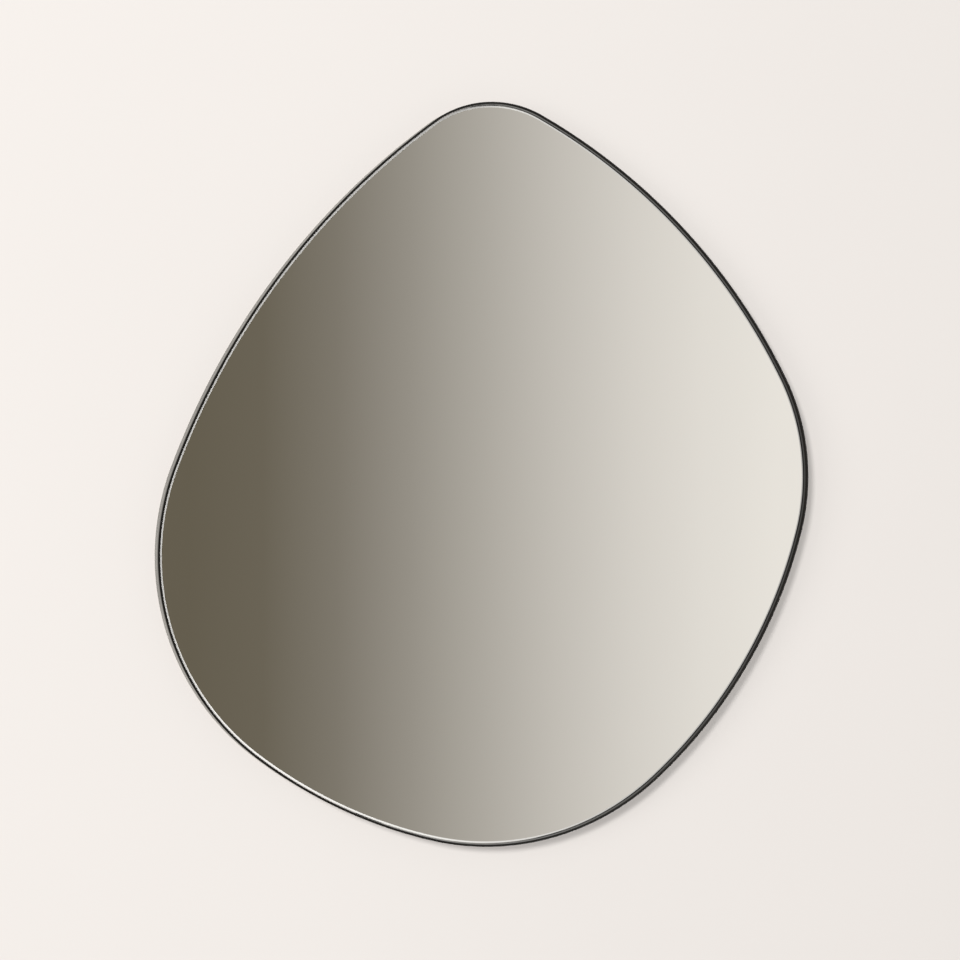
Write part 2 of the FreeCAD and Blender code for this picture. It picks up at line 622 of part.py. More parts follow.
def hanger_ring(doc, side):
    """A D of round wire: a straight side in the strap's roll, two bends and a half-round far side."""
    name = f"hanger_ring_{side}"
    body = new_body(doc, name)
    path = new_sketch(body, f"{name}_path", "XZ_Plane")
    half = value_of(doc, "sizes.ring_width / 2")
    reach = value_of(doc, "sizes.ring_reach")
    bend = value_of(doc, "sizes.ring_corner")
    shoulder = reach - half
    up = Vector(0, 0, 1)
    right_bend = Part.Circle(Vector(half - bend, bend, 0), up, bend)
    far_side = Part.Circle(Vector(0, shoulder, 0), up, half)
    left_bend = Part.Circle(Vector(bend - half, bend, 0), up, bend)
    pieces = (
        Part.LineSegment(Vector(0, 0, 0), Vector(half - bend, 0, 0)),
        Part.ArcOfCircle(right_bend, -math.pi / 2, 0),
        Part.LineSegment(Vector(half, bend, 0), Vector(half, shoulder, 0)),
        Part.ArcOfCircle(far_side, 0, math.pi),
        Part.LineSegment(Vector(-half, shoulder, 0), Vector(-half, bend, 0)),
        Part.ArcOfCircle(left_bend, math.pi, 1.5 * math.pi),
        Part.LineSegment(Vector(bend - half, 0, 0), Vector(0, 0, 0)),
    )
    for piece in pieces:
        path.addGeometry(piece, False)
    near_right, first_bend, right_side, far, left_side, last_bend, near_left = range(len(pieces))
    for piece in range(near_right, near_left):
        constrain(path, "", "Tangent", piece, 2, piece + 1, 1)
    constrain(path, "", "Coincident", near_right, 1, -1, 1)
    constrain(path, "", "Coincident", near_left, 2, -1, 1)
    for line in (near_right, near_left):
        constrain(path, "", "Horizontal", line)
    for line in (right_side, left_side):
        constrain(path, "", "Vertical", line)
    constrain(path, "", "Equal", first_bend, last_bend)
    constrain(path, "", "PointOnObject", far, 3, -2)
    constrain(path, "bend", "Radius", first_bend, size="sizes.ring_corner")
    constrain(path, "half", "Radius", far, size="sizes.ring_width / 2")
    shoulder_size = "sizes.ring_reach - sizes.ring_width / 2"
    constrain(path, "shoulder", "DistanceY", -1, 1, far, 3, size=shoulder_size)
    section = new_sketch(body, f"{name}_section", "YZ_Plane")
    circle(section, "wire", "0", "0", WIRE_RADIUS)
    sweep = body.newObject("PartDesign::AdditivePipe", f"{name}_wire")
    sweep.Profile = section
    sweep.Spine = path
    set_place(body, f"{SIDES[side]} * sizes.hanger_spacing / 2", HINGE_DEPTH, HINGE_Z, RING_LEAN, "1; 0; 0")


def wall_bumper(doc, flank):
    """A tapered rubber foot on the board, its screw sunk in a counterbore, its top at the wall."""
    name = f"wall_bumper_{flank}"
    body = new_body(doc, name)
    profile = new_sketch(body, f"{name}_profile", "XY_Plane")
    hole = value_of(doc, "sizes.screw_hole / 2")
    bore = value_of(doc, "sizes.bumper_bore / 2")
    base = value_of(doc, "sizes.bumper_base / 2")
    top = value_of(doc, "sizes.bumper_top / 2")
    floor = value_of(doc, "sizes.bumper_floor")
    height = value_of(doc, BOARD_REAR)
    points = [(hole, 0), (base, 0), (top, height), (bore, height), (bore, floor), (hole, floor)]
    foot, side, crest, wall, seat, shaft = range(closed_lines(profile, points), len(points))
    for line in (wall, shaft):
        constrain(profile, "", "Vertical", line)
    for line in (crest, seat):
        constrain(profile, "", "Horizontal", line)
    constrain(profile, "", "PointOnObject", foot, 1, -1)
    constrain(profile, "", "PointOnObject", foot, 2, -1)
    constrain(profile, "hole", "DistanceX", -1, 1, foot, 1, size="sizes.screw_hole / 2")
    constrain(profile, "base", "DistanceX", -1, 1, foot, 2, size="sizes.bumper_base / 2")
    constrain(profile, "top", "DistanceX", -1, 1, crest, 1, size="sizes.bumper_top / 2")
    constrain(profile, "bore", "DistanceX", -1, 1, wall, 1, size="sizes.bumper_bore / 2")
    constrain(profile, "floor", "DistanceY", -1, 1, seat, 1, size="sizes.bumper_floor")
    constrain(profile, "height", "DistanceY", -1, 1, crest, 1, size=BOARD_REAR)
    turned = body.newObject("PartDesign::Revolution", f"{name}_turned")
    turned.Profile = profile
    turned.ReferenceAxis = (profile, ["V_Axis"])
    turned.Angle = 360
    x, z = place_on_arc(flank, f"sizes.{flank}_bumper_turn", "sizes.bumper_inset")
    set_place(body, x, BOARD_REAR, z)


def node_names():
    """The sub-parts that are written out, each under the label of the same name."""
    names = ["frame_rim", "mirror_glass", "safety_film", "backing_board"]
    names += [f"tape_strip_{n + 1}" for n in range(TAPE_STRIPS)]
    names += [f"lug_{arc}" for arc in LUG_ARCS]
    names += list(screw_places())
    for side in SIDES:
        names += [f"hanger_strap_{side}", f"hanger_ring_{side}"]
    names += [f"wall_bumper_{flank}" for flank in FLANKS]
    return names


def check(doc):
    """Stops on any object that failed, any loose sketch and any sub-part without a sound shape."""
    for thing in doc.Objects:
        if "Invalid" in thing.State or "Error" in thing.State:
            raise RuntimeError(f"{thing.Name} failed: {thing.State} {thing.getStatusString()}")
        if thing.TypeId == "Sketcher::SketchObject" and not thing.FullyConstrained:
            raise RuntimeError(f"{thing.Name} isn't fully constrained")
    for name in node_names():
        shape = doc.getObject(name).Shape
        if shape.isNull() or not shape.isValid() or not shape.Solids:
            raise RuntimeError(f"{name} has no sound solid")


def main():
    doc = FreeCAD.newDocument("irregular_mirror")
    size_sheet(doc)
    frame_rim(doc)
    doc.recompute()
    mirror_glass(doc)
    safety_film(doc)
    tape_strips(doc)
    backing_board(doc)
    for arc in LUG_ARCS:
        lug(doc, arc)
    screws(doc)
    for side in SIDES:
        hanger_strap(doc, side)
        hanger_ring(doc, side)
    for flank in FLANKS:
        wall_bumper(doc, flank)
    doc.recompute()
    check(doc)
    os.makedirs("parts", exist_ok=True)
    for name in node_names():
        shape = doc.getObject(name).Shape
        shape.exportStep(f"parts/{name}.step")
        box = shape.BoundBox
        spans = f"{box.XLength:.2f} x {box.YLength:.2f} x {box.ZLength:.2f}"
        print(f"{name}: {len(shape.Solids)} solid(s), {spans} mm, {shape.Volume:.1f} mm3")


main()
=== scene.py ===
import math

import bmesh
import bpy
from bpy.props import FloatProperty, FloatVectorProperty, PointerProperty
from mathutils import Matrix, Vector


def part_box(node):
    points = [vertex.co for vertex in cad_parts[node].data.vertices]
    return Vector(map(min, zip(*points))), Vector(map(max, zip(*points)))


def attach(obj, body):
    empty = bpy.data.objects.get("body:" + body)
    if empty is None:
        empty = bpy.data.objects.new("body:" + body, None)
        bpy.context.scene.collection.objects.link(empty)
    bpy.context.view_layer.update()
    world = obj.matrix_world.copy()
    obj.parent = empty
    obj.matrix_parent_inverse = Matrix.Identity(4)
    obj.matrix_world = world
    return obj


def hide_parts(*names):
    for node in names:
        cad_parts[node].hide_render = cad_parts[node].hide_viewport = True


bl_info = {
    "name": "Irregular Wall Mirror",
    "version": (1, 0, 0),
    "blender": (4, 5, 0),
    "location": "View3D > Sidebar > Mirror",
    "description": "Builds a pebble-shaped wall mirror, its hangers and its studio on the frame",
    "category": "Object",
}

# The mirror hangs in the plane of X and Z and faces -Y. Depths are distances from the wall, so a
# point at depth d lies at y = -d. Insets are measured inwards from the rim's outer wall.

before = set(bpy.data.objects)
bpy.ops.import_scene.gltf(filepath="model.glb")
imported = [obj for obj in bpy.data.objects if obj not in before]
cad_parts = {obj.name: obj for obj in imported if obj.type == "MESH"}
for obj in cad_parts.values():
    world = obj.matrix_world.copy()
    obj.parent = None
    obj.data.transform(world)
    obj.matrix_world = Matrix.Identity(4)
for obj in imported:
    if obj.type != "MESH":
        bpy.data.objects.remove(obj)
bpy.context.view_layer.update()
MM = 0.001
FORWARDS = Vector((0, -1, 0))
RIM_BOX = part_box("frame_rim")
GLASS_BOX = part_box("mirror_glass")
BOARD_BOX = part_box("backing_board")
BOARD_REAR = -BOARD_BOX[1].y
NEAR = 0.01 * MM  # points closer than this are taken for one
ARC_STEP = math.radians(0.8)  # how finely the outline's arcs are cut
WIRE_STEP = math.radians(6)  # how finely the bends of the rings are cut
FLAT_SIDES = 12  # a face with as many sides as this is a flat
TAPE_STRIPS = 5


def length(name, default, description):
    return FloatProperty(
        name=name, description=description, default=default, unit="LENGTH", subtype="DISTANCE",
        precision=5,
    )


def angle(name, degrees, description):
    return FloatProperty(
        name=name, description=description, default=math.radians(degrees), unit="ROTATION",
        subtype="ANGLE",
    )


def colour(name, default, description):
    return FloatVectorProperty(
        name=name, description=description, default=default, subtype="COLOR", size=3, min=0, max=1
    )


def power(name, default, description):
    return FloatProperty(name=name, description=description, default=default, min=0, unit="POWER")


class MirrorOutline(bpy.types.PropertyGroup):
    """The pebble outline: four corner arcs and the four flatter flanks that wrap them."""

    right_z: length("Right Height", -2 * MM, "Height of the right-hand corner arc's centre")
    right_radius: length("Right Radius", 208 * MM, "Radius of the right-hand corner arc")
    crown_x: length("Crown Place", 3 * MM, "Sideways place of the crown arc's centre")
    crown_radius: length("Crown Radius", 99 * MM, "Radius of the crown arc")
    left_z: length("Left Height", -76 * MM, "Height of the left-hand corner arc's centre")
    left_radius: length("Left Radius", 235 * MM, "Radius of the left-hand corner arc")
    base_x: length("Base Place", 2 * MM, "Sideways place of the base arc's centre")
    base_radius: length("Base Radius", 244 * MM, "Radius of the base arc")
    upper_right_turn: angle("Upper Right Turn", 34.8, "Bend of the flank from right to crown")
    upper_left_turn: angle("Upper Left Turn", 32.8, "Bend of the flank from crown to left")
    lower_left_turn: angle("Lower Left Turn", 23.4, "Bend of the flank from left to base")
    lower_right_turn: angle("Lower Right Turn", 34, "Bend of the flank from base to right")


class MirrorRim(bpy.types.PropertyGroup):
    """The flat bar bent round the outline."""

    wall: length("Wall", 2.2 * MM, "Thickness of the bar with its coat")
    front_round: length("Front Rounding", 0.5 * MM, "Rounding of the two front edges")
    rear_round: length("Rear Rounding", 0.3 * MM, "Rounding of the two rear edges")
    coat: colour("Coat", (0.004, 0.0035, 0.003), "Colour of the gloss black coat")


class MirrorGlass(bpy.types.PropertyGroup):
    """The silvered glass and its ground edge."""

    clearance: length("Clearance", 0.4 * MM, "From the rim's inner wall to the edge of the glass")
    arris: length("Arris", 1.8 * MM, "Width of the ground bevel round the front")
    silver: colour("Silver", (0.925, 0.905, 0.865), "Tint of what the glass reflects")
    edge: colour("Ground Edge", (0.97, 0.95, 0.91), "Colour of the ground bevel and edge")


class MirrorBack(bpy.types.PropertyGroup):
    """The board and what is fixed to it."""

    board: colour("Board", (0.36, 0.24, 0.14), "Colour of the fibreboard")
    steel: colour("Lug Steel", (0.50, 0.49, 0.47), "Colour of the bare steel lugs")
    zinc: colour("Zinc", (0.66, 0.67, 0.68), "Colour of the zinc-plated screws")
    nickel: colour("Nickel", (0.70, 0.68, 0.63), "Colour of the nickel-plated hangers")
    rubber: colour("Rubber", (0.018, 0.018, 0.019), "Colour of the rubber bumpers")
    screw_head: length("Screw Head", 6.8 * MM, "Diameter of a screw's head")
    screw_rise: length("Screw Rise", 2.2 * MM, "Height of a screw's head")
    screw_core: length("Screw Core", 3 * MM, "Diameter of a screw's core")
    screw_tip: length("Screw Tip", 1.6 * MM, "Length of a screw's point")
    screw_bite: length("Screw Bite", 4.2 * MM, "How far a screw goes into the board")
    screw_hole: length("Screw Hole", 3.6 * MM, "Diameter of the hole that a screw passes through")
    recess: length("Recess", 4.0 * MM, "Span of the cross recess in a head")
    bumper_top: length("Bumper Top", 15 * MM, "Diameter of a bumper at the wall")
    bumper_base: length("Bumper Base", 17 * MM, "Diameter of a bumper on the board")
    bumper_bore: length("Bumper Bore", 8.4 * MM, "Diameter of the counterbore for the screw")
    bumper_floor: length("Bumper Floor", 3.4 * MM, "Rubber under the screw's head")
    bumper_round: length("Bumper Rounding", 1.2 * MM, "Rounding of a bumper's edge at the wall")
    bumper_break: length("Bumper Break", 0.35 * MM, "Rounding of a bumper's other edges")
    bumper_inset: length("Bumper Inset", 46 * MM, "From the rim's outside to a bumper's middle")
    lug_hole: length("Lug Hole", 9.5 * MM, "From the rim's inner wall to a lug's screw")


class MirrorHanger(bpy.types.PropertyGroup):
    """The strap and ring of the two hangers."""

    wire: length("Wire", 3.2 * MM, "Diameter of the ring's wire")
    sheet: length("Sheet", 1.2 * MM, "Thickness of the strap")
    clearance: length("Clearance", 0.3 * MM, "Between the wire and the roll that holds it")
    tail: length("Tail", 8 * MM, "From the hinge axis to the end of the rolled-back sheet")
    bend: length("Bend", 2 * MM, "Bend where the roll comes back to the strap")
    ring_width: length("Ring Width", 24 * MM, "Between the middles of the ring's sides")
    ring_reach: length("Ring Reach", 20 * MM, "From the hinge axis to the ring's far side")
    ring_corner: length("Ring Corner", 4 * MM, "Bend at each end of the ring's straight side")
    strap_corner: length("Strap Corner", 5 * MM, "Rounding of the strap's lower corners")
    strap_edge: length("Strap Edge", 0.22 * MM, "Rounding of the sheet's edges")
    lower_screw: length("Lower Screw", 6 * MM, "From the strap's end to its lower screw")
    upper_screw: length("Upper Screw", 18 * MM, "From the strap's end to its upper screw")


class MirrorStudio(bpy.types.PropertyGroup):
    """The wall, the floor, the light and the camera."""

    wall: colour("Wall", (0.618, 0.586, 0.559), "Colour of the plain wall and floor")
    key: power("Key Light", 400, "Strength of the broad light from the upper left")
    side: power("Side Light", 87, "Strength of the wide light from the left")
    fill: power("Fill Light", 2.06, "Strength of the shadowless light from the front")
    rear: power("Rear Light", 1.2, "Strength of the light on the back")
    focal: FloatProperty(
        name="Focal Length", description="Lens of the camera", default=111.92, unit="CAMERA"
    )
    azimuth: angle("Azimuth", -14, "Viewing direction round the object")
    distance: length("Distance", 2.8, "From the camera to the point it looks at")
    floor: length("Floor", -1.5, "Height of the floor")


# Materials: each builds its pattern on Object coordinates, and what doesn't vary is set on the
# shader itself.


def new_finish(name, **sockets):
    """A material with one Principled shader, its sockets set to the values given."""
    material = bpy.data.materials.new(name)
    material.use_nodes = True
    shader = material.node_tree.nodes["Principled BSDF"]
    for socket, value in sockets.items():
        value = (*value, 1) if isinstance(value, (tuple, list)) else value
        shader.inputs[socket.replace("_", " ")].default_value = value
    return material, material.node_tree, shader


def pattern(tree, scale, detail=3, roughness=0.5, stretch=(1, 1, 1)):
    """A noise on Object coordinates, finer where stretch is larger."""
    where = tree.nodes.new("ShaderNodeTexCoord")
    place = tree.nodes.new("ShaderNodeMapping")
    place.inputs["Scale"].default_value = stretch
    tree.links.new(where.outputs["Object"], place.inputs["Vector"])
    noise = tree.nodes.new("ShaderNodeTexNoise")
    noise.inputs["Scale"].default_value = scale
    noise.inputs["Detail"].default_value = detail
    noise.inputs["Roughness"].default_value = roughness
    tree.links.new(place.outputs["Vector"], noise.inputs["Vector"])
    return noise.outputs["Fac"]


def spread(tree, value, low, high, start=0.35, end=0.65):
    """A pattern's middle part stretched to run from low to high."""
    node = tree.nodes.new("ShaderNodeMapRange")
    sockets = ("From Min", "From Max", "To Min", "To Max")
    for socket, number in zip(sockets, (start, end, low, high)):
        node.inputs[socket].default_value = number
    tree.links.new(value, node.inputs["Value"])
    return node.outputs["Result"]


def tones(tree, shader, value, dark, light):
    """Runs the base colour from dark to light with the pattern."""
    ramp = tree.nodes.new("ShaderNodeValToRGB")
    ramp.color_ramp.elements[0].position = 0.3
    ramp.color_ramp.elements[1].position = 0.7
    ramp.color_ramp.elements[0].color = (*dark, 1)
    ramp.color_ramp.elements[1].color = (*light, 1)
    tree.links.new(value, ramp.inputs["Fac"])
    tree.links.new(ramp.outputs["Color"], shader.inputs["Base Color"])


def dullness(tree, shader, value, smooth, rough, start=0.35, end=0.65):
    """Runs the roughness from smooth to rough with the pattern."""
    tree.links.new(spread(tree, value, smooth, rough, start, end), shader.inputs["Roughness"])


def mixed(tree, share, first, second):
    """Runs from one colour to the other with the share; either may be a socket."""
    node = tree.nodes.new("ShaderNodeMix")
    node.data_type = "RGBA"
    factor, first_socket, second_socket = (node.inputs[number] for number in (0, 6, 7))
    tree.links.new(share, factor)
    for socket, source in ((first_socket, first), (second_socket, second)):
        if isinstance(source, tuple):
            socket.default_value = (*source, 1)
        else:
            tree.links.new(source, socket)
    return node.outputs[2]


def relief(tree, shader, value, strength, distance):
    """Lets the pattern stand proud of the surface by up to distance."""
    bump = tree.nodes.new("ShaderNodeBump")
    bump.inputs["Strength"].default_value = strength
    bump.inputs["Distance"].default_value = distance
    tree.links.new(value, bump.inputs["Height"])
    tree.links.new(bump.outputs["Normal"], shader.inputs["Normal"])


def shade(tint, factor):
    """The colour made darker or lighter by a factor."""
    return tuple(min(1, part * factor) for part in tint)


def metal_finish(name, tint, smooth, rough, grain, depth, stretch=(1, 1, 1)):
    """Bare or plated metal: a tint that varies a little, and fine marks in its polish."""
    material, tree, shader = new_finish(name, Metallic=1.0)
    marks = pattern(tree, grain, 4, 0.6, stretch)
    tones(tree, shader, pattern(tree, 45, 3), shade(tint, 0.92), shade(tint, 1.06))
    dullness(tree, shader, marks, smooth, rough)
    relief(tree, shader, marks, 0.25, depth)
    return material


def coat_finish(tint):
    """Gloss black enamel on steel: a faint orange-peel skin, a little duller in places."""
    material, tree, shader = new_finish("black_enamel", IOR=1.5, Specular_IOR_Level=0.42)
    patches = pattern(tree, 22, 4, 0.6)
    tones(tree, shader, patches, shade(tint, 0.85), shade(tint, 1.4))
    dullness(tree, shader, patches, 0.12, 0.20)
    relief(tree, shader, pattern(tree, 420, 3, 0.6), 0.2, 0.00002)
    return material


def silver_finish(tint):
    """Silvered glass: a clear coat over a plain reflector, with faint wiping marks."""
    material, tree, shader = new_finish(
        "silvered_glass", Metallic=1.0, Coat_Weight=0.6, Coat_IOR=1.52, Coat_Roughness=0.0
    )
    wiping = pattern(tree, 5, 3, 0.5, (1, 1, 0.25))
    tones(tree, shader, wiping, shade(tint, 0.985), tint)
    dullness(tree, shader, wiping, 0.0, 0.03, 0.5, 0.8)
    return material


def ground_finish(tint):
    """The ground bevel and edge of the glass: frosted white, a little duller in places."""
    material, tree, shader = new_finish("ground_edge", IOR=1.52, Specular_IOR_Level=0.5)
    patches = pattern(tree, 120, 2, 0.6)
    tones(tree, shader, patches, shade(tint, 0.985), shade(tint, 1.01))
    dullness(tree, shader, patches, 0.35, 0.45)
    return material


def board_finish(tint):
    """Fibreboard: matted fibres, darker clouds and a slightly fuzzy surface."""
    material, tree, shader = new_finish("fibreboard", Specular_IOR_Level=0.25)
    fibres = pattern(tree, 520, 5, 0.75)
    clouds = spread(tree, pattern(tree, 9, 3, 0.5), 0.12, 0.16)
    mix = tree.nodes.new("ShaderNodeMath")
    mix.operation = "MULTIPLY_ADD"
    mix.inputs[1].default_value = 0.7
    tree.links.new(fibres, mix.inputs[0])
    tree.links.new(clouds, mix.inputs[2])
    tones(tree, shader, mix.outputs["Value"], shade(tint, 0.66), shade(tint, 1.22))
    dullness(tree, shader, fibres, 0.72, 0.9)
    relief(tree, shader, fibres, 0.5, 0.00015)
    return material


def soft_finish(name, dark, light, scale, smooth, rough, depth):
    """A plain matt surface with a fine grain: rubber, film or tape."""
    material, tree, shader = new_finish(name, Specular_IOR_Level=0.4)
    grain = pattern(tree, scale, 4, 0.6)
    tones(tree, shader, grain, dark, light)
    dullness(tree, shader, grain, smooth, rough)
    relief(tree, shader, grain, 0.4, depth)
    return material


def stage_finish(name, tint):
    """A plain matt stage surface that is clear when seen from behind, so that it hides no side."""
    material, tree, shader = new_finish(name, Roughness=0.95, Specular_IOR_Level=0.1)
    tones(tree, shader, pattern(tree, 2.2, 3), shade(tint, 0.992), shade(tint, 1.005))
    side = tree.nodes.new("ShaderNodeNewGeometry")
    clear = tree.nodes.new("ShaderNodeBsdfTransparent")
    choice = tree.nodes.new("ShaderNodeMixShader")
    tree.links.new(side.outputs["Backfacing"], choice.inputs[0])
    tree.links.new(shader.outputs["BSDF"], choice.inputs[1])
    tree.links.new(clear.outputs["BSDF"], choice.inputs[2])
    tree.links.new(choice.outputs["Shader"], tree.nodes["Material Output"].inputs["Surface"])
    return material


# Shapes


def outline_arcs(outline):
    """The outline's arcs, anticlockwise from the front, each (x, z, radius, start, turn)."""
    low, high = RIM_BOX
    corners = (
        (high.x - outline.right_radius, outline.right_z, outline.right_radius),
        (outline.crown_x, high.z - outline.crown_radius, outline.crown_radius),
        (low.x + outline.left_radius, outline.left_z, outline.left_radius),
        (outline.base_x, low.z + outline.base_radius, outline.base_radius),
    )
    turns = (
        outline.upper_right_turn,
        outline.upper_left_turn,
        outline.lower_left_turn,
        outline.lower_right_turn,
    )
    arcs = []
    for corner, following, turn in zip(corners, corners[1:] + corners[:1], turns):
        arcs += [corner, flank_arc(corner, following, turn)]
    joins = []
    for (x, z, radius), (next_x, next_z, next_radius) in zip(arcs, arcs[1:] + arcs[:1]):
        sign = 1 if radius > next_radius else -1
        joins.append(math.atan2(sign * (next_z - z), sign * (next_x - x)))
    swept = []
    for number, arc in enumerate(arcs):
        start = joins[number - 1]
        swept.append((*arc, start, (joins[number] - start) % math.tau))
    return swept


def flank_arc(first, second, turn):
    """The arc that wraps two corner circles and bends by turn between them, as x, z, radius."""
    across, up = second[0] - first[0], second[1] - first[1]
    apart = math.hypot(across, up)
    unlike = second[2] - first[2]
    wide = math.sqrt(unlike**2 + 2 * (apart**2 - unlike**2) / (1 - math.cos(turn)))
    radius = (first[2] + second[2] + wide) / 2
    along = ((radius - first[2]) ** 2 - (radius - second[2]) ** 2 + apart**2) / (2 * apart)
    aside = math.sqrt((radius - first[2]) ** 2 - along**2)
    x = first[0] + (across * along - up * aside) / apart
    z = first[1] + (up * along + across * aside) / apart
    return x, z, radius


ARC_NAMES = (
    "right", "upper_right", "crown", "upper_left", "left", "lower_left", "base", "lower_right",
)
# Where each lug stands: a corner's direction from its arc's centre, a flank's from its middle.
LUG_TURNS = dict(zip(ARC_NAMES, (6, 0, 94, 0, 196, 4, 284, 0)))
BUMPER_TURNS = {"upper_right": 7, "upper_left": -10, "lower_left": -4, "lower_right": -15}
# A weld bead's half sizes, and how far along the rim it lies from the middle of its lug.
WELD_BEAD = (1.0 * MM, 0.75 * MM, 3.4 * MM)
WELD_ASIDE = 8.5 * MM


def on_arc(outline, name, turn, inset):
    """The point that lies inset inside the rim in that direction, and the direction itself."""
    number = ARC_NAMES.index(name)
    x, z, radius, start, sweep = outline_arcs(outline)[number]
    towards = math.radians(turn)
    if number % 2:
        towards += start + sweep / 2
    reach = radius - inset
    return Vector((x + reach * math.cos(towards), 0, z + reach * math.sin(towards))), towards


def section_points(bm, outline, points):
    """Vertices of a section, given as (inset, depth), where the outline's first arc starts."""
    x, z, radius, start, _ = outline_arcs(outline)[0]
    made = []
    for inset, depth in points:
        reach = radius - inset
        spot = Vector((x + reach * math.cos(start), -depth, z + reach * math.sin(start)))
        made.append(bm.verts.new(spot))
    return made


def sweep_round(bm, outline, section):
    """Spins a section round the centre of every arc in turn, and closes the ring."""
    moving = section
    for x, z, _, _, turn in outline_arcs(outline):
        made = bmesh.ops.spin(
            bm, geom=moving, cent=(x, 0, z), axis=FORWARDS, angle=turn,
            steps=math.ceil(turn / ARC_STEP), use_duplicate=False,
        )
        moving = made["geom_last"]
    bmesh.ops.remove_doubles(bm, verts=bm.verts[:], dist=NEAR)


def only(items, kind):
    """The items of one kind: vertices, edges or faces."""
    return [item for item in items if isinstance(item, kind)]


def turn_verts(bm, radians, axis, verts):
    """Turns the vertices about an axis through the origin."""
    matrix = Matrix.Rotation(radians, 3, axis)
    bmesh.ops.rotate(bm, cent=(0, 0, 0), matrix=matrix, verts=verts)


def open_loops(bm, where):
    """The boundary edges of which where(point) is true at both ends."""
    edges = [edge for edge in bm.edges if edge.is_boundary]
    return [edge for edge in edges if all(where(vert.co) for vert in edge.verts)]


def round_section(bm, corners, radius, segments):
    """Rounds the corners of a flat section, of which only the outline is kept."""
    bmesh.ops.bevel(
        bm, geom=corners, offset=radius, segments=segments, profile=0.5, affect="VERTICES",
        material=-1, clamp_overlap=True,
    )


def outline_only(bm):
    """Deletes a section's face and returns what is left to spin."""
    bmesh.ops.delete(bm, geom=bm.faces[:], context="FACES_ONLY")
    return bm.verts[:] + bm.edges[:]


def full_spin(bm, geom, axis, steps, centre=(0, 0, 0)):
    """Turns a section once round an axis and closes it, at its poles too."""
    bmesh.ops.spin(
        bm, geom=geom, cent=centre, axis=axis, angle=math.tau, steps=steps, use_merge=True,
        use_duplicate=False,
    )
    bmesh.ops.remove_doubles(bm, verts=bm.verts[:], dist=NEAR / 2)


def new_piece(bm, name, materials, body="mirror", replaces=()):
    """Makes the mesh a piece that rides on a CAD body and stands for the nodes it replaces."""
    bmesh.ops.recalc_face_normals(bm, faces=bm.faces[:])
    mesh = bpy.data.meshes.new(name)
    for face in bm.faces:
        face.smooth = len(face.verts) < FLAT_SIDES
    bm.to_mesh(mesh)
    bm.free()
    for material in materials:
        mesh.materials.append(material)
    piece = bpy.data.objects.new(name, mesh)
    bpy.context.scene.collection.objects.link(piece)
    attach(piece, body)
    if replaces:
        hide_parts(*replaces)
    return piece


def finish_node(name, material):
    """Gives a carried-over CAD node its material."""
    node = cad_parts[name]
    if not node.material_slots:
        node.data.materials.append(material)
    for slot in node.material_slots:
        slot.link = "OBJECT"
        slot.material = material


def crease(piece, degrees):
    """Marks every edge sharper than the angle, so that flats stay flat beside rounded edges."""
    bm = bmesh.new()
    bm.from_mesh(piece.data)
    for edge in bm.edges:
        edge.smooth = edge.calc_face_angle(0) < math.radians(degrees)
    bm.to_mesh(piece.data)
    bm.free()


class MIRROR_OT_rim(bpy.types.Operator):
    """Build the flat bar bent round the outline, with its rounded front edge"""

    bl_idname = "mirror.rim"
    bl_label = "Rim"

    def execute(self, context):
        scene = context.scene
        rim = scene.mirror_rim
        rear, front = -RIM_BOX[1].y, -RIM_BOX[0].y
        bm = bmesh.new()
        corners = section_points(
            bm, scene.mirror_outline, ((0, rear), (rim.wall, rear), (rim.wall, front), (0, front))
        )
        bm.faces.new(corners)
        round_section(bm, corners[2:], rim.front_round, 4)
        rear_corners = [vert for vert in bm.verts if vert.co.y > -rear - NEAR]
        round_section(bm, rear_corners, rim.rear_round, 2)
        sweep_round(bm, scene.mirror_outline, outline_only(bm))
        piece = new_piece(
            bm, "rim", [coat_finish(rim.coat)], replaces=["frame_rim"]
        )
        crease(piece, 35)
        return {"FINISHED"}


class MIRROR_OT_glass(bpy.types.Operator):
    """Build the silvered glass with its ground bevel"""

    bl_idname = "mirror.glass"
    bl_label = "Glass"

    def execute(self, context):
        scene = context.scene
        glass = scene.mirror_glass
        rear, front = -GLASS_BOX[1].y, -GLASS_BOX[0].y
        edge = scene.mirror_rim.wall + glass.clearance
        # The bevel at 45 degrees, its outer corner ground off more steeply.
        profile = (
            (edge + glass.arris, front),
            (edge + 0.12 * glass.arris, front - 0.88 * glass.arris),
            (edge, front - 1.15 * glass.arris),
            (edge, rear),
        )
        bm = bmesh.new()
        points = section_points(bm, scene.mirror_outline, profile)
        edges = [bm.edges.new(pair) for pair in zip(points, points[1:])]
        sweep_round(bm, scene.mirror_outline, points + edges)
        for face in bm.faces:
            face.material_index = 1
        for depth in (front, rear):
            loop = open_loops(bm, lambda point: abs(point.y + depth) < NEAR)
            bmesh.ops.edgeloop_fill(bm, edges=loop, mat_nr=0, use_smooth=False)
        materials = [silver_finish(glass.silver), ground_finish(glass.edge)]
        piece = new_piece(bm, "glass", materials, replaces=["mirror_glass"])
        crease(piece, 15)
        return {"FINISHED"}


